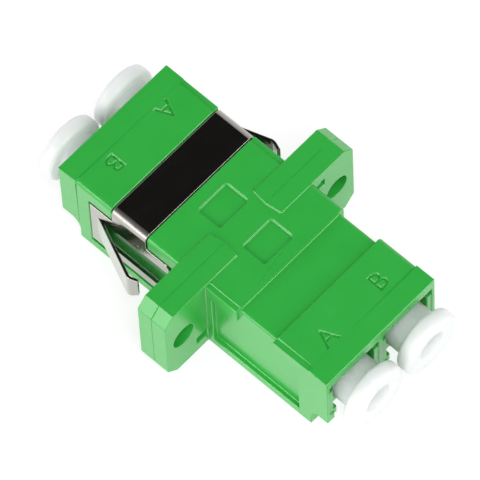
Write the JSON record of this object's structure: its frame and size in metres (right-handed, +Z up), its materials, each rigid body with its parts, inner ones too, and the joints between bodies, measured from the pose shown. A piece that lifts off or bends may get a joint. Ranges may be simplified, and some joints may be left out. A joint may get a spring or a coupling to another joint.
{
  "type": "lc duplex fibre adapter",
  "caption": "Duplex fibre adapter with a long screw flange, a folded steel panel clip, ceramic split sleeves inside and a pull-out dust cap in each port.",
  "frame": {"origin": "middle of the flange on the welded seam, on the underside", "axes": "+Y along the ports from the front pair to the rear pair with the clip, +Z up from the latch side, +X across the flange"},
  "size_m": [0.022, 0.0344, 0.0093],
  "materials": {
    "green_plastic": "moulded, satin gloss",
    "clip_steel": "bright nickel-plated spring steel",
    "cap_plastic": "soft translucent white",
    "sleeve_ceramic": "polished white ceramic"
  },
  "bodies": {
    "adapter": {"housing_front": "green_plastic", "housing_rear": "green_plastic", "split_sleeve_a": "sleeve_ceramic", "split_sleeve_b": "sleeve_ceramic", "panel_clip": "clip_steel"},
    "cap_front_a": {"dust_cap_front_a": "cap_plastic"},
    "cap_front_b": {"dust_cap_front_b": "cap_plastic"},
    "cap_rear_a": {"dust_cap_rear_a": "cap_plastic"},
    "cap_rear_b": {"dust_cap_rear_b": "cap_plastic"}
  },
  "joints": [
    {"name": "cap_front_a_pull", "type": "slide", "parent": "adapter", "child": "cap_front_a", "axis": [0, -1, 0], "range_m": [0, 0.013]},
    {"name": "cap_front_b_pull", "type": "slide", "parent": "adapter", "child": "cap_front_b", "axis": [0, -1, 0], "range_m": [0, 0.013]},
    {"name": "cap_rear_a_pull", "type": "slide", "parent": "adapter", "child": "cap_rear_a", "axis": [0, 1, 0], "range_m": [0, 0.013]},
    {"name": "cap_rear_b_pull", "type": "slide", "parent": "adapter", "child": "cap_rear_b", "axis": [0, 1, 0], "range_m": [0, 0.013]}
  ]
}
